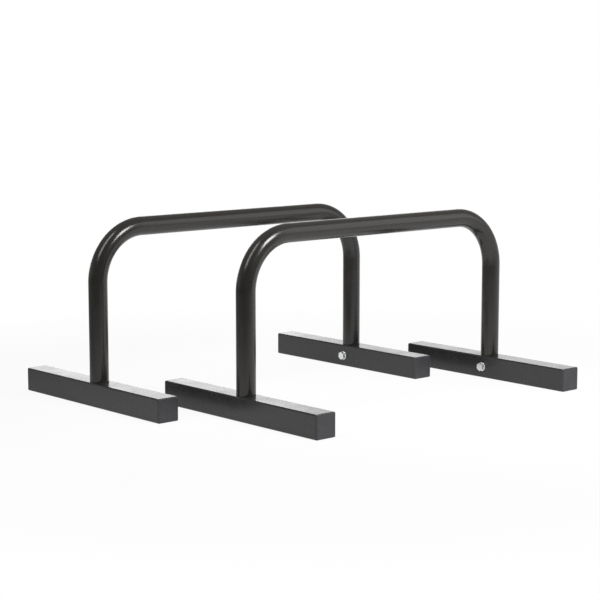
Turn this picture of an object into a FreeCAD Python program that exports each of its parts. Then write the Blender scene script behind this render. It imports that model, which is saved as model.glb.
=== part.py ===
import FreeCAD, Part
import os
import Sketcher
from FreeCAD import Placement, Rotation, Vector

# A pair of steel parallette bars. Each bar is one round tube bent into a low arch, standing in
# two square-tube feet. A bolt in the inner wall of each foot draws the leg in by a threaded
# insert, and ribbed plastic caps close the ends of the feet.
# Frame: +Z up, origin on the floor at the middle of the pair, +Y along the grips from the front
# feet to the rear feet, +X from the left bar to the right bar. Lengths are in millimetres.

SIZES = (
    ("leg_spacing", 580.0, "between the axes of the two legs of a bar"),
    ("rail_height", 296.0, "floor to the axis of the grip rail"),
    ("bend_radius", 90.0, "bends of the grip tube, at its axis"),
    ("grip_dia", 32.0, "outside of the grip tube"),
    ("grip_wall", 2.0, "wall of the grip tube"),
    ("foot_length", 380.0, "foot with its end caps"),
    ("foot_wall", 2.0, "wall of the foot tube"),
    ("foot_bend", 0.5, "inside corner radius of the foot tube"),
    ("cut_bevel", 0.4, "deburred edges of the foot tube's sawn ends"),
    ("leg_gap", 0.3, "round the leg in the hole of the foot's top wall"),
    ("insert_flange", 2.0, "thickness of the insert's flange, between leg and foot wall"),
    ("insert_length", 15.0, "insert with its flange"),
    ("insert_wall", 1.5, "wall of the insert round the thread"),
    ("insert_gap", 0.1, "round the insert in the leg, and behind the leg's wall"),
    ("flange_rim", 0.75, "reach of the insert's flange past its body"),
    ("collar_bulge", 1.5, "reach of the insert's set collar past its body"),
    ("collar_height", 3.0, "set collar of the insert"),
    ("thread_gap", 0.05, "round the bolt in the insert"),
    ("bolt_dia", 8.0, "bolt shank"),
    ("bolt_length", 20.0, "bolt under its head"),
    ("bolt_tip", 1.0, "chamfer of the bolt's tip"),
    ("bolt_gap", 0.5, "round the bolt in the foot's wall"),
    ("head_flats", 13.0, "across the flats of the bolt head"),
    ("head_height", 5.3, "bolt head"),
    ("head_land", 0.3, "flats to the rim of the head's round top"),
    ("washer_dia", 16.0, "outside of the washer"),
    ("washer_thickness", 1.6, "washer"),
    ("washer_gap", 0.2, "round the bolt in the washer"),
    ("washer_edge", 0.3, "bevel of the washer's edges"),
    ("cap_plate", 3.0, "visible plate of an end cap"),
    ("cap_round", 2.0, "rounding of the plate's outer edge"),
    ("cap_seam", 0.4, "bevel of the plate's inner edge, half of the groove at the joint"),
    ("cap_gap", 0.1, "round the ribs of a cap in the foot tube"),
    ("stem_length", 16.0, "plug of an end cap"),
    ("stem_wall", 2.0, "wall of the plug"),
    ("rib_depth", 1.5, "reach of the ribs past the plug"),
    ("rib_thickness", 1.2, "rib of an end cap"),
    ("rib_pitch", 4.0, "from rib to rib"),
    ("rib_count", 3, "ribs on a cap"),
    ("bar_gap", 256.0, "between the grips of the two bars"),
    ("bar_stagger", 106.0, "right bar ahead of the left bar along the grips"),
)

# Turns in degrees. HEAD_TURN brings two flats of a tight bolt's head upright.
FULL_TURN = 360
HALF_TURN = 180
QUARTER_TURN = 90
HEAD_TURN = 30
SAME_PLACE = 1e-4

# Sizes that follow from the ones above, as expressions on the sheet
FOOT_INSIDE = "(Sizes.grip_dia + 2 * Sizes.insert_flange)"
FOOT_SIDE = f"({FOOT_INSIDE} + 2 * Sizes.foot_wall)"
FOOT_CORNER = "(Sizes.foot_bend + Sizes.foot_wall)"
TUBE_LENGTH = "(Sizes.foot_length - 2 * Sizes.cap_plate)"
LEG_HOLE = "(Sizes.grip_dia / 2 + Sizes.leg_gap)"
INSERT_RADIUS = "(Sizes.bolt_dia / 2 + Sizes.thread_gap + Sizes.insert_wall)"
COLLAR_RADIUS = f"({INSERT_RADIUS} + Sizes.collar_bulge)"
RIB_SIDE = f"({FOOT_INSIDE} - 2 * Sizes.cap_gap)"
STEM_SIDE = f"({RIB_SIDE} - 2 * Sizes.rib_depth)"

doc = FreeCAD.newDocument("ParalletteBars")
sheet = doc.addObject("Spreadsheet::Sheet", "Sizes")
for row, (alias, number, meaning) in enumerate(SIZES, start=1):
    sheet.set(f"A{row}", meaning)
    sheet.set(f"B{row}", str(number))
    sheet.setAlias(f"B{row}", alias)
doc.recompute()


def size(expression):
    """The number that an expression on the sheet stands for now."""
    return float(sheet.evalExpression(expression))


def new_body(label, turn, x, y, z):
    """A piece with its own place: a fixed turn and three expressions for its origin."""
    body = doc.addObject("PartDesign::Body", label)
    body.Label = label
    body.Placement = Placement(Vector(), turn)
    for axis, expression in zip("xyz", (x, y, z)):
        body.setExpression(f"Placement.Base.{axis}", expression)
    return body


def new_sketch(body, name, plane):
    """A sketch on one of the body's own origin planes."""
    sketch = body.newObject("Sketcher::SketchObject", name)
    support = next(o for o in body.Origin.OriginFeatures if o.Role == plane)
    sketch.AttachmentSupport = [(support, "")]
    sketch.MapMode = "FlatFace"
    return sketch


def bind(sketch, name, expression, kind, *places):
    """A dimension of the sketch, driven by the sheet."""
    index = sketch.addConstraint(Sketcher.Constraint(kind, *places, size(expression)))
    sketch.renameConstraint(index, name)
    sketch.setExpression(f"Constraints.{name}", expression)


def add_circle(sketch, name, radius, height=None):
    """A circle on the sketch's vertical axis, at its origin or at a height above it."""
    centre = Vector(0, size(height) if height else 0, 0)
    circle = sketch.addGeometry(Part.Circle(centre, Vector(0, 0, 1), size(radius)))
    if height:
        sketch.addConstraint(Sketcher.Constraint("PointOnObject", circle, 3, -2))
        bind(sketch, name + "_height", height, "DistanceY", -1, 1, circle, 3)
    else:
        sketch.addConstraint(Sketcher.Constraint("Coincident", circle, 3, -1, 1))
    bind(sketch, name + "_radius", radius, "Radius", circle)


def add_rounded_square(sketch, name, side, corner):
    """A square about the sketch's origin, with four equal round corners."""
    half = size(side) / 2
    radius = size(corner)
    middle = half - radius
    bulge = middle + radius * 0.5 ** 0.5
    lines = []
    arcs = []
    for turn in range(4):
        quarter = Rotation(Vector(0, 0, 1), QUARTER_TURN * turn)
        flat = [Vector(-middle, -half, 0), Vector(middle, -half, 0)]
        bow = [flat[1], Vector(bulge, -bulge, 0), Vector(half, -middle, 0)]
        lines.append(sketch.addGeometry(Part.LineSegment(*[quarter.multVec(point) for point in flat])))
        arcs.append(sketch.addGeometry(Part.Arc(*[quarter.multVec(point) for point in bow])))
    for turn in range(4):
        following = lines[(turn + 1) % 4]
        sketch.addConstraint(Sketcher.Constraint("Tangent", lines[turn], 2, arcs[turn], 1))
        sketch.addConstraint(Sketcher.Constraint("Tangent", arcs[turn], 2, following, 1))
        sketch.addConstraint(Sketcher.Constraint("Vertical" if turn % 2 else "Horizontal", lines[turn]))
    for turn in range(1, 4):
        sketch.addConstraint(Sketcher.Constraint("Equal", arcs[0], arcs[turn]))
    sketch.addConstraint(Sketcher.Constraint("Symmetric", arcs[0], 3, arcs[2], 3, -1, 1))
    bind(sketch, name + "_corner", corner, "Radius", arcs[0])
    bind(sketch, name + "_width", side, "DistanceX", lines[3], 1, lines[1], 1)
    bind(sketch, name + "_height", side, "DistanceY", lines[0], 1, lines[2], 1)


def add_outline(sketch, corners):
    """A closed outline of straight lines through corners given as pairs of expressions."""
    points = [Vector(size(x), size(y), 0) for x, y in corners]
    for start, end in zip(points, points[1:] + points[:1]):
        sketch.addGeometry(Part.LineSegment(start, end))
    for line in range(len(points)):
        sketch.addConstraint(Sketcher.Constraint("Coincident", line, 2, (line + 1) % len(points), 1))
    for line, (x, y) in enumerate(corners):
        for kind, axis, expression in (("DistanceX", -2, x), ("DistanceY", -1, y)):
            if expression == "0":
                sketch.addConstraint(Sketcher.Constraint("PointOnObject", line, 1, axis))
            else:
                bind(sketch, f"{kind}_{line}", expression, kind, -1, 1, line, 1)


def pad(body, name, sketch, length, side_type="One side", reverse=False):
    """Material along the sketch's normal."""
    feature = body.newObject("PartDesign::Pad", name)
    feature.Profile = sketch
    feature.SideType = side_type
    feature.Reversed = reverse
    feature.setExpression("Length", length)
    doc.recompute()
    return feature


def check_cut(body, feature, whole):
    """A cut that points away from the solid shows no error, so the volumes are compared."""
    doc.recompute()
    if not feature.Shape.Volume < whole:
        raise ValueError(f"{feature.Label} cuts nothing from {body.Label}")


def pocket(body, name, sketch, length, side_type="One side", reverse=False):
    """A cut against the sketch's normal."""
    whole = body.Shape.Volume
    feature = body.newObject("PartDesign::Pocket", name)
    feature.Profile = sketch
    feature.SideType = side_type
    feature.Reversed = reverse
    feature.setExpression("Length", length)
    check_cut(body, feature, whole)


def groove(body, name, sketch):
    """A cut by a full turn about the sketch's vertical axis."""
    whole = body.Shape.Volume
    feature = body.newObject("PartDesign::Groove", name)
    feature.Profile = sketch
    feature.ReferenceAxis = (sketch, ["V_Axis"])
    feature.Angle = FULL_TURN
    check_cut(body, feature, whole)


def revolve(body, name, sketch):
    """Material by a full turn about the sketch's vertical axis."""
    feature = body.newObject("PartDesign::Revolution", name)
    feature.Profile = sketch
    feature.ReferenceAxis = (sketch, ["V_Axis"])
    feature.Angle = FULL_TURN
    doc.recompute()


def dress_edges(body, kind, name, base, amount, along, *positions):
    """A Fillet or Chamfer on the edges of base that lie square to an axis at one of the positions."""
    edges = []
    for number, edge in enumerate(base.Shape.Edges, start=1):
        box = edge.BoundBox
        ends = (getattr(box, along + "Min"), getattr(box, along + "Max"))
        if any(all(abs(end - position) < SAME_PLACE for end in ends) for position in positions):
            edges.append(f"Edge{number}")
    feature = body.newObject(f"PartDesign::{kind}", name)
    feature.Base = (base, edges)
    feature.setExpression("Radius" if kind == "Fillet" else "Size", amount)
    doc.recompute()
    return feature


def make_grip(label, x, y):
    """The arch: one tube swept along leg, bend, rail, bend and leg, with a hole for each insert."""
    body = new_body(label, Rotation(), x, y, "0")

    path = new_sketch(body, label + "_path", "YZ_Plane")
    reach = size("Sizes.leg_spacing") / 2
    low = size("Sizes.foot_wall")
    top = size("Sizes.rail_height")
    bend = size("Sizes.bend_radius")
    shoulder = top - bend
    lean = bend * 0.5 ** 0.5
    near_leg = path.addGeometry(Part.LineSegment(Vector(-reach, low, 0), Vector(-reach, shoulder, 0)))
    near_bend = path.addGeometry(Part.Arc(Vector(bend - reach, top, 0),
                                          Vector(bend - reach - lean, shoulder + lean, 0),
                                          Vector(-reach, shoulder, 0)))
    rail = path.addGeometry(Part.LineSegment(Vector(bend - reach, top, 0), Vector(reach - bend, top, 0)))
    far_bend = path.addGeometry(Part.Arc(Vector(reach, shoulder, 0),
                                         Vector(reach - bend + lean, shoulder + lean, 0),
                                         Vector(reach - bend, top, 0)))
    far_leg = path.addGeometry(Part.LineSegment(Vector(reach, shoulder, 0), Vector(reach, low, 0)))
    path.addConstraint([
        Sketcher.Constraint("Vertical", near_leg),
        Sketcher.Constraint("Horizontal", rail),
        Sketcher.Constraint("Vertical", far_leg),
        Sketcher.Constraint("Tangent", near_leg, 2, near_bend, 2),
        Sketcher.Constraint("Tangent", near_bend, 1, rail, 1),
        Sketcher.Constraint("Tangent", rail, 2, far_bend, 2),
        Sketcher.Constraint("Tangent", far_bend, 1, far_leg, 1),
        Sketcher.Constraint("Equal", near_bend, far_bend),
        Sketcher.Constraint("Symmetric", near_leg, 1, far_leg, 2, -2),
    ])
    bind(path, "leg_spacing", "Sizes.leg_spacing", "DistanceX", near_leg, 1, far_leg, 2)
    bind(path, "leg_seat", "Sizes.foot_wall", "DistanceY", -1, 1, near_leg, 1)
    bind(path, "rail_height", "Sizes.rail_height", "DistanceY", -1, 1, rail, 1)
    bind(path, "bend_radius", "Sizes.bend_radius", "Radius", near_bend)

    section = new_sketch(body, label + "_section", "XY_Plane")
    section.setExpression("AttachmentOffset.Base.y", "-Sizes.leg_spacing / 2")
    section.setExpression("AttachmentOffset.Base.z", "Sizes.foot_wall")
    add_circle(section, "outside", "Sizes.grip_dia / 2")
    add_circle(section, "inside", "Sizes.grip_dia / 2 - Sizes.grip_wall")
    tube = body.newObject("PartDesign::AdditivePipe", label + "_tube")
    tube.Profile = section
    tube.Spine = path
    doc.recompute()

    hole = new_sketch(body, label + "_insert_hole", "XZ_Plane")
    add_circle(hole, "hole", f"{INSERT_RADIUS} + Sizes.insert_gap", f"{FOOT_SIDE} / 2")
    pocket(body, label + "_insert_holes", hole, "Sizes.leg_spacing", "Symmetric")
    return body


def make_foot(label, turn, x, y):
    """A length of square tube with a round hole for the leg and a bolt hole in its inner wall."""
    body = new_body(label, turn, x, y, f"{FOOT_SIDE} / 2")
    section = new_sketch(body, label + "_section", "YZ_Plane")
    add_rounded_square(section, "outside", FOOT_SIDE, FOOT_CORNER)
    add_rounded_square(section, "inside", FOOT_INSIDE, "Sizes.foot_bend")
    tube = pad(body, label + "_tube", section, TUBE_LENGTH, "Symmetric")
    cut = size(TUBE_LENGTH) / 2
    dress_edges(body, "Chamfer", label + "_sawn_ends", tube, "Sizes.cut_bevel", "X", -cut, cut)

    leg_hole = new_sketch(body, label + "_leg_hole", "XY_Plane")
    add_circle(leg_hole, "leg", LEG_HOLE)
    pocket(body, label + "_leg_socket", leg_hole, f"{FOOT_SIDE} / 2", reverse=True)

    bolt_hole = new_sketch(body, label + "_bolt_hole", "XZ_Plane")
    add_circle(bolt_hole, "bolt", "Sizes.bolt_dia / 2 + Sizes.bolt_gap")
    pocket(body, label + "_bolt_way", bolt_hole, f"{FOOT_SIDE} / 2")
    return body


def make_cap(label, turn, x, y):
    """A moulded cap: a plate flush with the foot, and a hollow plug with grip ribs round it."""
    body = new_body(label, turn, x, y, f"{FOOT_SIDE} / 2")
    face = new_sketch(body, label + "_face", "YZ_Plane")
    add_rounded_square(face, "plate", FOOT_SIDE, FOOT_CORNER)
    plate = pad(body, label + "_plate", face, "Sizes.cap_plate")
    front = size("Sizes.cap_plate")
    rounded = dress_edges(body, "Fillet", label + "_edge", plate, "Sizes.cap_round", "X", front)
    dress_edges(body, "Chamfer", label + "_seam", rounded, "Sizes.cap_seam", "X", 0)

    plug = new_sketch(body, label + "_plug_section", "YZ_Plane")
    add_rounded_square(plug, "plug", STEM_SIDE, "Sizes.foot_bend")
    pad(body, label + "_plug", plug, "Sizes.stem_length", reverse=True)

    ring = new_sketch(body, label + "_rib_section", "YZ_Plane")
    ring.setExpression("AttachmentOffset.Base.z", "-Sizes.rib_pitch")
    add_rounded_square(ring, "rib", RIB_SIDE, "Sizes.foot_bend")
    rib = pad(body, label + "_rib", ring, "Sizes.rib_thickness", reverse=True)
    ribs = body.newObject("PartDesign::LinearPattern", label + "_ribs")
    ribs.Originals = [rib]
    ribs.Direction = (ring, ["N_Axis"])
    ribs.Reversed = True
    ribs.Mode = "Spacing"
    ribs.setExpression("Offset", "Sizes.rib_pitch")
    ribs.setExpression("Occurrences", "Sizes.rib_count")
    body.Tip = ribs
    doc.recompute()

    hollow = new_sketch(body, label + "_hollow_section", "YZ_Plane")
    add_rounded_square(hollow, "hollow", f"{STEM_SIDE} - 2 * Sizes.stem_wall", "Sizes.foot_bend")
    pocket(body, label + "_hollow", hollow, "Sizes.stem_length")
    return body


def make_bolt(label, turn, x, y):
    """A hexagon bolt along its own Z axis, with the seat of its head at the origin."""
    body = new_body(label, turn, x, y, f"{FOOT_SIDE} / 2")
    head = body.newObject("PartDesign::AdditivePrism", label + "_head")
    head.Polygon = 6
    head.setExpression("Circumradius", "Sizes.head_flats / 2 / cos(30 deg)")
    head.setExpression("Height", "Sizes.head_height")
    doc.recompute()

    rim = new_sketch(body, label + "_rim", "XZ_Plane")
    land = "(Sizes.head_flats / 2 - Sizes.head_land)"
    add_outline(rim, ((land, "Sizes.head_height"),
                      ("Sizes.head_flats", "Sizes.head_height"),
                      ("Sizes.head_flats", f"Sizes.head_height - (Sizes.head_flats - {land}) * tan(30 deg)")))
    groove(body, label + "_head_chamfer", rim)

    side = new_sketch(body, label + "_side", "XZ_Plane")
    radius = "Sizes.bolt_dia / 2"
    add_outline(side, (("0", "0"),
                       (radius, "0"),
                       (radius, "-(Sizes.bolt_length - Sizes.bolt_tip)"),
                       (f"{radius} - Sizes.bolt_tip", "-Sizes.bolt_length"),
                       ("0", "-Sizes.bolt_length")))
    revolve(body, label + "_shank", side)
    return body


def make_washer(label, turn, x, y):
    """A flat washer on its own Z axis, lying on the foot's wall at the origin."""
    body = new_body(label, turn, x, y, f"{FOOT_SIDE} / 2")
    ring = new_sketch(body, label + "_ring", "XY_Plane")
    add_circle(ring, "outside", "Sizes.washer_dia / 2")
    add_circle(ring, "bore", "Sizes.bolt_dia / 2 + Sizes.washer_gap")
    blank = pad(body, label + "_blank", ring, "Sizes.washer_thickness")
    top = size("Sizes.washer_thickness")
    dress_edges(body, "Chamfer", label + "_rim", blank, "Sizes.washer_edge", "Z", top)
    return body


def make_insert(label, turn, x, y):
    """A threaded insert on its own Z axis: flange at the origin, collar set behind the leg's wall."""
    body = new_body(label, turn, x, y, f"{FOOT_SIDE} / 2")
    side = new_sketch(body, label + "_side", "XZ_Plane")
    bore = "Sizes.bolt_dia / 2 + Sizes.thread_gap"
    flange = f"{INSERT_RADIUS} + Sizes.flange_rim"
    inside = "(Sizes.grip_dia / 2 - Sizes.grip_wall)"
    behind = (f"(Sizes.insert_flange + Sizes.grip_dia / 2 + Sizes.insert_gap"
              f" - sqrt({inside} ^ 2 - {COLLAR_RADIUS} ^ 2))")
    add_outline(side, ((bore, "0"),
                       (flange, "0"),
                       (flange, "-Sizes.insert_flange"),
                       (INSERT_RADIUS, "-Sizes.insert_flange"),
                       (INSERT_RADIUS, f"-{behind}"),
                       (COLLAR_RADIUS, f"-{behind}"),
                       (COLLAR_RADIUS, f"-({behind} + Sizes.collar_height)"),
                       (INSERT_RADIUS, f"-({behind} + Sizes.collar_height)"),
                       (INSERT_RADIUS, "-Sizes.insert_length"),
                       (bore, "-Sizes.insert_length")))
    revolve(body, label + "_turned", side)
    return body


def make_bar(name, side):
    """All pieces of one bar. Side is -1 for the left bar and 1 for the right one."""
    x = f"{side} * Sizes.bar_gap / 2"
    y = f"{side} * Sizes.bar_stagger / 2"
    pieces = [make_grip(f"{name}_bar_grip", x, y)]
    for end_name, end in (("front", -1), ("rear", 1)):
        foot = f"{name}_bar_{end_name}"
        leg_y = f"{y} + {end} * Sizes.leg_spacing / 2"
        inward = Rotation(Vector(0, 0, 1), HALF_TURN if end > 0 else 0)
        pieces.append(make_foot(f"{foot}_foot", inward, x, leg_y))
        for cap_name, way in (("outer", side), ("inner", -side)):
            outward = Rotation(Vector(0, 0, 1), 0 if way > 0 else HALF_TURN)
            cap_x = f"{x} + {way} * {TUBE_LENGTH} / 2"
            pieces.append(make_cap(f"{foot}_{cap_name}_cap", outward, cap_x, leg_y))
        bolt_axis = Rotation(Vector(1, 0, 0), end * QUARTER_TURN)
        seat_y = f"{leg_y} - {end} * {FOOT_SIDE} / 2"
        pieces.append(make_insert(f"{foot}_insert", bolt_axis, x, f"{leg_y} - {end} * {FOOT_INSIDE} / 2"))
        pieces.append(make_washer(f"{foot}_washer", bolt_axis, x, seat_y))
        upright_flats = bolt_axis * Rotation(Vector(0, 0, 1), HEAD_TURN)
        head_y = f"{seat_y} - {end} * Sizes.washer_thickness"
        pieces.append(make_bolt(f"{foot}_bolt", upright_flats, x, head_y))
    return pieces


pieces = make_bar("left", -1) + make_bar("right", 1)
doc.recompute()

for item in doc.Objects:
    if "Invalid" in item.State or "Error" in item.State:
        raise ValueError(f"{item.Label} failed: {item.State}")
for piece in pieces:
    if piece.Shape.isNull() or not piece.Shape.isValid() or len(piece.Shape.Solids) != 1:
        raise ValueError(f"{piece.Label} is not one valid solid")

os.makedirs("parts", exist_ok=True)
for piece in pieces:
    piece.Shape.exportStep(f"parts/{piece.Label}.step")
    box = piece.Shape.optimalBoundingBox()
    print(f"{piece.Label}: {piece.Shape.Volume:.0f} mm3, x {box.XMin:.1f} to {box.XMax:.1f},"
          f" y {box.YMin:.1f} to {box.YMax:.1f}, z {box.ZMin:.1f} to {box.ZMax:.1f}")
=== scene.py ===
import math

import bmesh
import bpy
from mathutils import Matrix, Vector

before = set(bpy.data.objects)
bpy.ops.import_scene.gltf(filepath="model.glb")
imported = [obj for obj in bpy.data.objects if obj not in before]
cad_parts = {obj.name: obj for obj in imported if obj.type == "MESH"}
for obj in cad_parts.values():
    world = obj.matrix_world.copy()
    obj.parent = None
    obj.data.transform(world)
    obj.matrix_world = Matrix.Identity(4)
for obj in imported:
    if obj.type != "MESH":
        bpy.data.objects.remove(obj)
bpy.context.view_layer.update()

# Sizes are in metres and the frame is the part's own: +X from the left bar to the right bar,
# +Y along the grips from the front feet to the rear feet, +Z up from the floor.
MM = 0.001
MIDDLE = Vector((0.0, 0.0, 0.15))

# The camera, worked out from the edges of the feet and tubes in the 600 x 600 photograph.
IMAGE_PIXELS = 600
FOCAL_PIXELS = 1696.0
SENSOR_MM = 36.0
CAMERA_AZIMUTH = 48.3
CAMERA_ELEVATION = 7.93
CAMERA_DISTANCE = 2.9656
CAMERA_TARGET = Vector((-0.0110, 0.0026, 0.1578))

# Most of a noise texture lies between these two values.
NOISE_LOW = 0.35
NOISE_HIGH = 0.65

# Powder coat: the widths at which its cloudy patches, its grain and its orange peel are drawn, the
# depth of the peel, the grain's share of the mottle, and how far the roughness strays either way.
COAT_CLOUD_MM = 35
COAT_GRAIN_MM = 3.5
COAT_PEEL_MM = 2.5
COAT_PEEL_DEPTH_MM = 0.005
COAT_GRAIN_SHARE = 0.35
COAT_ROUGHNESS_STRAY = 0.03

# Moulded caps: the widths at which their cloudy patches and their grain are drawn, the depth of the
# grain, and the roughness, which rises from the middle of a grain towards its edge.
CAP_CLOUD_MM = 14
CAP_GRAIN_MM = 1.5
CAP_GRAIN_DEPTH_MM = 0.06
CAP_ROUGHNESS = (0.34, 0.44)

# Zinc plate: the width and depth of its rubs, and how much they dull and polish it.
ZINC_RUB_MM = 1.8
ZINC_RUB_DEPTH_MM = 0.05
ZINC_DULLED = 0.10
ZINC_POLISHED = 0.08

# The floor is far wider than the view. Its white paper is painted darker over these distances from the
# middle, towards the camera and to the camera's left, as a painted falloff of the lamps' light, and the
# object's shadow is kept as far as the shadow reach.
FLOOR_HALF = 60.0
FRONT_PAINTED_FALLOFF = (0.25, 1.3)
LEFT_PAINTED_FALLOFF = (0.15, 0.95)
LEFT_PAINTED_FALLOFF_SHARE = 0.75
SHADOW_REACH = (0.6, 1.1)
WHITE_SHARE_AT_SHADOW = 0.92
WHITE_SHARE_IN_GLOSS = 0.7

# The room. The walls dim and the backdrop ends by how far a direction points to the camera's side, from
# -1 straight behind the pair to 1 on the camera's side. The ceiling dims by how far it points up.
WALLS_DIM = (0.05, 0.75)
BACKDROP_ENDS = (-1.0, -0.85)
CEILING_DIMS = (0.12, 0.45)
CEILING_SHARE = 0.6


def to_linear(hex_colour):
    """An sRGB hex colour as linear RGBA."""
    channels = [int(hex_colour[i:i + 2], 16) / 255 for i in (1, 3, 5)]
    linear = [c / 12.92 if c <= 0.04045 else ((c + 0.055) / 1.055) ** 2.4 for c in channels]
    return (*linear, 1.0)


WHITE = to_linear("#FFFFFF")


def bearing(azimuth, elevation):
    """The direction at these degrees. Azimuth 0 is in front, towards -Y, and 90 is right, towards +X."""
    turn, rise = math.radians(azimuth), math.radians(elevation)
    return Vector((math.sin(turn) * math.cos(rise), -math.cos(turn) * math.cos(rise), math.sin(rise)))


TOWARDS_CAMERA = bearing(CAMERA_AZIMUTH, 0)
CAMERA_LEFT = bearing(CAMERA_AZIMUTH - 90, 0)
UP = bearing(0, 90)


def add(tree, kind, values=None, links=None, stops=(), **settings):
    """Adds a node, sets its properties, its unlinked inputs and its colour stops, and links the other
    inputs."""
    node = tree.nodes.new(kind)
    for name, value in settings.items():
        setattr(node, name, value)
    for socket, value in (values or {}).items():
        node.inputs[socket].default_value = value
    for socket, source in (links or {}).items():
        tree.links.new(source, node.inputs[socket])
    for index, (position, colour) in enumerate(stops):
        node.color_ramp.elements[index].position = position
        node.color_ramp.elements[index].color = colour
    return node


def new_material(name):
    """An empty node material and its tree."""
    material = bpy.data.materials.new(name)
    material.use_nodes = True
    material.node_tree.nodes.clear()
    return material, material.node_tree


def cycles_per_metre(size_mm):
    """The noise scale at which one blotch is about this wide."""
    return 1 / (size_mm * MM)


def powder_coat(name, dark, light, roughness):
    """Black polyester powder, sprayed and baked on steel. The melted grains leave a fine orange peel
    that breaks up the reflections, with faint cloudy patches where the film is thicker. The peel is
    about 1 mm wide on the real coat, and it is drawn wider so that it shows."""
    material, tree = new_material(name)
    place = add(tree, "ShaderNodeTexCoord").outputs["Object"]
    cloud = add(tree, "ShaderNodeTexNoise",
                {"Scale": cycles_per_metre(COAT_CLOUD_MM), "Detail": 3.0, "Roughness": 0.55},
                {"Vector": place})
    grain = add(tree, "ShaderNodeTexNoise",
                {"Scale": cycles_per_metre(COAT_GRAIN_MM), "Detail": 2.0, "Roughness": 0.6},
                {"Vector": place})
    peel = add(tree, "ShaderNodeTexNoise",
               {"Scale": cycles_per_metre(COAT_PEEL_MM), "Detail": 1.0, "Roughness": 0.4},
               {"Vector": place})
    mottle = add(tree, "ShaderNodeMath", {1: COAT_GRAIN_SHARE}, {0: grain.outputs["Fac"]},
                 operation="MULTIPLY")
    patches = add(tree, "ShaderNodeMath", {1: 1 - COAT_GRAIN_SHARE},
                  {0: cloud.outputs["Fac"], 2: mottle.outputs[0]}, operation="MULTIPLY_ADD")
    colour = add(tree, "ShaderNodeValToRGB", None, {"Fac": patches.outputs[0]},
                 stops=((NOISE_LOW, to_linear(dark)), (NOISE_HIGH, to_linear(light))))
    gloss = add(tree, "ShaderNodeMapRange",
                {"From Min": NOISE_LOW, "From Max": NOISE_HIGH,
                 "To Min": roughness - COAT_ROUGHNESS_STRAY, "To Max": roughness + COAT_ROUGHNESS_STRAY},
                {"Value": patches.outputs[0]})
    bump = add(tree, "ShaderNodeBump", {"Strength": 0.2, "Distance": COAT_PEEL_DEPTH_MM * MM},
               {"Height": peel.outputs["Fac"]})
    shader = add(tree, "ShaderNodeBsdfPrincipled", {"IOR": 1.5},
                 {"Base Color": colour.outputs["Color"], "Roughness": gloss.outputs["Result"],
                  "Normal": bump.outputs["Normal"]})
    add(tree, "ShaderNodeOutputMaterial", None, {"Surface": shader.outputs[0]})
    return material


def moulded_polyethylene():
    """Low-density polyethylene, injection moulded in a spark-eroded mould. It gives a soft dull sheen
    over a fine even grain. The grain is about 0.3 mm wide, and it is drawn wider so that it shows."""
    material, tree = new_material("moulded_black_polyethylene")
    place = add(tree, "ShaderNodeTexCoord").outputs["Object"]
    cloud = add(tree, "ShaderNodeTexNoise", {"Scale": cycles_per_metre(CAP_CLOUD_MM), "Detail": 2.0},
                {"Vector": place})
    grain = add(tree, "ShaderNodeTexVoronoi", {"Scale": cycles_per_metre(CAP_GRAIN_MM)},
                {"Vector": place})
    colour = add(tree, "ShaderNodeValToRGB", None, {"Fac": cloud.outputs["Fac"]},
                 stops=((NOISE_LOW, to_linear("#333336")), (NOISE_HIGH, to_linear("#3A3A3F"))))
    gloss = add(tree, "ShaderNodeMapRange", {"To Min": CAP_ROUGHNESS[0], "To Max": CAP_ROUGHNESS[1]},
                {"Value": grain.outputs["Distance"]})
    bump = add(tree, "ShaderNodeBump", {"Strength": 0.25, "Distance": CAP_GRAIN_DEPTH_MM * MM},
               {"Height": grain.outputs["Distance"]})
    shader = add(tree, "ShaderNodeBsdfPrincipled", {"IOR": 1.51},
                 {"Base Color": colour.outputs["Color"], "Roughness": gloss.outputs["Result"],
                  "Normal": bump.outputs["Normal"]})
    add(tree, "ShaderNodeOutputMaterial", None, {"Surface": shader.outputs[0]})
    return material


def zinc_plate(name, dark, light, roughness):
    """Cold-headed steel, barrel plated with zinc and passivated. It is bright and slightly uneven where
    parts tumbled against each other, with small dull rubs a millimetre or two wide."""
    material, tree = new_material(name)
    place = add(tree, "ShaderNodeTexCoord").outputs["Object"]
    rubs = add(tree, "ShaderNodeTexNoise",
               {"Scale": cycles_per_metre(ZINC_RUB_MM), "Detail": 3.0, "Roughness": 0.6},
               {"Vector": place})
    colour = add(tree, "ShaderNodeValToRGB", None, {"Fac": rubs.outputs["Fac"]},
                 stops=((NOISE_LOW, to_linear(dark)), (NOISE_HIGH, to_linear(light))))
    gloss = add(tree, "ShaderNodeMapRange",
                {"To Min": roughness + ZINC_DULLED, "To Max": roughness - ZINC_POLISHED},
                {"Value": rubs.outputs["Fac"]})
    bump = add(tree, "ShaderNodeBump", {"Strength": 0.2, "Distance": ZINC_RUB_DEPTH_MM * MM},
               {"Height": rubs.outputs["Fac"]})
    shader = add(tree, "ShaderNodeBsdfPrincipled", {"Metallic": 1.0},
                 {"Base Color": colour.outputs["Color"], "Roughness": gloss.outputs["Result"],
                  "Normal": bump.outputs["Normal"]})
    add(tree, "ShaderNodeOutputMaterial", None, {"Surface": shader.outputs[0]})
    return material


grip_coat = powder_coat("satin_black_powder_coat", dark="#272523", light="#2B2926", roughness=0.21)
foot_coat = powder_coat("semi_matt_black_powder_coat", dark="#2A2A2B", light="#2E2E2F", roughness=0.26)
cap_plastic = moulded_polyethylene()
bright_zinc = zinc_plate("bright_zinc_plate", dark="#EEF0F2", light="#FAFBFC", roughness=0.44)
insert_zinc = zinc_plate("yellow_passivated_zinc", dark="#A79C78", light="#C9BE99", roughness=0.34)

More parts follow.
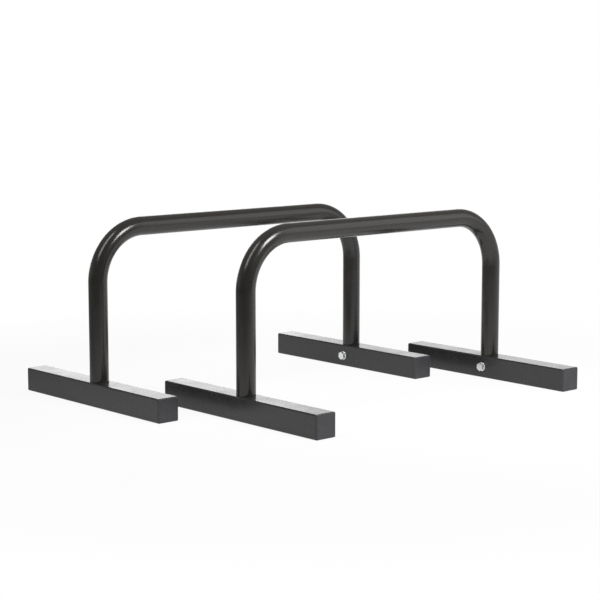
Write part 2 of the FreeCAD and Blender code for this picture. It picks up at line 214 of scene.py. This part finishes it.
FINISHES = {"_grip": grip_coat, "_foot": foot_coat, "_cap": cap_plastic, "_bolt": bright_zinc,
            "_washer": bright_zinc, "_insert": insert_zinc}
for node_name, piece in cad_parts.items():
    finish = next(material for ending, material in FINISHES.items() if node_name.endswith(ending))
    for slot in piece.material_slots:
        slot.material = finish


def white_share(tree, mirrored, seen=None):
    """How much plain white takes the place of what the lamps light: the mirrored share in gloss and
    glass, and the seen share for the camera, or all of it where no seen share is given."""
    rays = add(tree, "ShaderNodeLightPath")
    camera = rays.outputs["Is Camera Ray"]
    if seen:
        dimmed = add(tree, "ShaderNodeMath", None, {0: camera, 1: seen}, operation="MULTIPLY")
        camera = dimmed.outputs[0]
    gloss = add(tree, "ShaderNodeMath", None,
                {0: rays.outputs["Is Glossy Ray"], 1: rays.outputs["Is Transmission Ray"]},
                operation="MAXIMUM")
    share = add(tree, "ShaderNodeMath", None, {0: gloss.outputs[0], 1: mirrored, 2: camera},
                operation="MULTIPLY_ADD", use_clamp=True)
    return share.outputs[0]


def paper_with_painted_falloff():
    """Matt white paper, painted darker towards the camera and on its left as a painted falloff of the
    lamps' light. The camera sees plain white but for the object's shadow, and gloss and glass see a
    share of that white with the lit paper and its painted falloff."""
    material, tree = new_material("matt_paper_with_painted_falloff")
    place = add(tree, "ShaderNodeTexCoord").outputs["Object"]
    forward = add(tree, "ShaderNodeVectorMath", {1: TOWARDS_CAMERA}, {0: place},
                  operation="DOT_PRODUCT")
    leftward = add(tree, "ShaderNodeVectorMath", {1: CAMERA_LEFT}, {0: place},
                   operation="DOT_PRODUCT")
    outward = add(tree, "ShaderNodeVectorMath", None, {0: place}, operation="LENGTH")
    # Painted falloff of light: the paper is painted from white to dim grey towards the camera and to its
    # left, in place of the lamps' light falling off with distance.
    front_falloff = add(tree, "ShaderNodeMapRange", {"From Min": FRONT_PAINTED_FALLOFF[0], "From Max": FRONT_PAINTED_FALLOFF[1]},
                    {"Value": forward.outputs["Value"]})
    left_falloff = add(tree, "ShaderNodeMapRange",
                   {"From Min": LEFT_PAINTED_FALLOFF[0], "From Max": LEFT_PAINTED_FALLOFF[1], "To Max": LEFT_PAINTED_FALLOFF_SHARE},
                   {"Value": leftward.outputs["Value"]})
    painted_falloff = add(tree, "ShaderNodeMath", None,
                    {0: front_falloff.outputs["Result"], 1: left_falloff.outputs["Result"]},
                    operation="MAXIMUM")
    # The painted falloff: white paper near the object, painted dim grey where it stands for less light.
    falloff_tone = add(tree, "ShaderNodeValToRGB", None, {"Fac": painted_falloff.outputs[0]},
               stops=((0.0, to_linear("#F4F5F8")), (1.0, to_linear("#3C3C3C"))))
    paper = add(tree, "ShaderNodeBsdfDiffuse", None, {"Color": falloff_tone.outputs["Color"]})
    white = add(tree, "ShaderNodeEmission", {"Color": WHITE, "Strength": 1.0})
    seen = add(tree, "ShaderNodeMapRange",
               {"From Min": SHADOW_REACH[0], "From Max": SHADOW_REACH[1],
                "To Min": WHITE_SHARE_AT_SHADOW},
               {"Value": outward.outputs["Value"]})
    mirrored = add(tree, "ShaderNodeMapRange", {"To Min": WHITE_SHARE_IN_GLOSS, "To Max": 0.0},
                   {"Value": painted_falloff.outputs[0]})
    share = white_share(tree, mirrored.outputs["Result"], seen.outputs["Result"])
    both = add(tree, "ShaderNodeMixShader", None,
               {"Fac": share, 1: paper.outputs[0], 2: white.outputs[0]})
    add(tree, "ShaderNodeOutputMaterial", None, {"Surface": both.outputs[0]})
    return material


def paper_floor():
    """The flat sheet that the object stands on."""
    shape = bmesh.new()
    bmesh.ops.create_grid(shape, x_segments=1, y_segments=1, size=FLOOR_HALF)
    mesh = bpy.data.meshes.new("paper_floor")
    shape.to_mesh(mesh)
    shape.free()
    mesh.materials.append(paper_with_painted_falloff())
    floor = bpy.data.objects.new("paper_floor", mesh)
    bpy.context.scene.collection.objects.link(floor)


def studio_room():
    """The room round the floor: pale grey walls, dimmer on the camera's side and under the ceiling,
    with a white backdrop behind the object that gloss and glass see. The camera sees white all
    round."""
    world = bpy.data.worlds.new("studio_room")
    bpy.context.scene.world = world
    world.use_nodes = True
    tree = world.node_tree
    tree.nodes.clear()
    direction = add(tree, "ShaderNodeTexCoord").outputs["Generated"]
    forward = add(tree, "ShaderNodeVectorMath", {1: TOWARDS_CAMERA}, {0: direction},
                  operation="DOT_PRODUCT")
    upward = add(tree, "ShaderNodeVectorMath", {1: UP}, {0: direction}, operation="DOT_PRODUCT")
    walls = add(tree, "ShaderNodeValToRGB", None, {"Fac": forward.outputs["Value"]},
                stops=((WALLS_DIM[0], to_linear("#C0BFBC")), (WALLS_DIM[1], to_linear("#696765"))))
    ceiling = add(tree, "ShaderNodeMapRange",
                  {"From Min": CEILING_DIMS[0], "From Max": CEILING_DIMS[1],
                   "To Min": 1.0, "To Max": CEILING_SHARE},
                  {"Value": upward.outputs["Value"]})
    room = add(tree, "ShaderNodeBackground", None,
               {"Color": walls.outputs["Color"], "Strength": ceiling.outputs["Result"]})
    white = add(tree, "ShaderNodeBackground", {"Color": WHITE, "Strength": 1.0})
    backdrop = add(tree, "ShaderNodeMapRange",
                   {"From Min": BACKDROP_ENDS[0], "From Max": BACKDROP_ENDS[1],
                    "To Min": 1.0, "To Max": 0.0},
                   {"Value": forward.outputs["Value"]})
    share = white_share(tree, backdrop.outputs["Result"])
    both = add(tree, "ShaderNodeMixShader", None,
               {"Fac": share, 1: room.outputs[0], 2: white.outputs[0]})
    add(tree, "ShaderNodeOutputWorld", None, {"Surface": both.outputs[0]})


def softbox(name, azimuth, elevation, distance, width, height, watts):
    """A rectangular studio lamp at this bearing from the middle of the pair, which it faces."""
    lamp = bpy.data.lights.new(name, "AREA")
    lamp.shape = "RECTANGLE"
    lamp.size = width
    lamp.size_y = height
    lamp.energy = watts
    stand = bpy.data.objects.new(name, lamp)
    back = bearing(azimuth, elevation)
    stand.location = MIDDLE + distance * back
    stand.rotation_euler = back.to_track_quat("Z", "Y").to_euler()
    stand.visible_camera = False
    bpy.context.scene.collection.objects.link(stand)


def photo_camera():
    """The camera at the bearing, height and distance from which the photograph was taken."""
    lens = bpy.data.cameras.new("photo_camera")
    lens.sensor_width = SENSOR_MM
    lens.lens = FOCAL_PIXELS / IMAGE_PIXELS * SENSOR_MM
    camera = bpy.data.objects.new("photo_camera", lens)
    back = bearing(CAMERA_AZIMUTH, CAMERA_ELEVATION)
    camera.location = CAMERA_TARGET + CAMERA_DISTANCE * back
    camera.rotation_euler = back.to_track_quat("Z", "Y").to_euler()
    bpy.context.scene.collection.objects.link(camera)
    bpy.context.scene.camera = camera


paper_floor()
studio_room()

# Seen from the camera, the two softboxes draw the streaks on the near bends, the tops of the feet
# mirror the lit sweep and its side, and the card draws the pale band along the rails.
softbox("softbox_right", azimuth=90, elevation=42, distance=1.35, width=0.42, height=0.42, watts=13)
softbox("softbox_left", azimuth=4, elevation=50, distance=2.2, width=0.5, height=1.6, watts=15)
softbox("lit_sweep", azimuth=250.6, elevation=8, distance=2.0, width=1.6, height=0.6, watts=5.35)
softbox("sweep_side", azimuth=210.8, elevation=8, distance=2.15, width=1.4, height=0.64, watts=2.9)
softbox("white_card", azimuth=136, elevation=26.5, distance=2.0, width=1.1, height=1.36, watts=5.0)
photo_camera()
bpy.context.scene.view_settings.view_transform = "Standard"
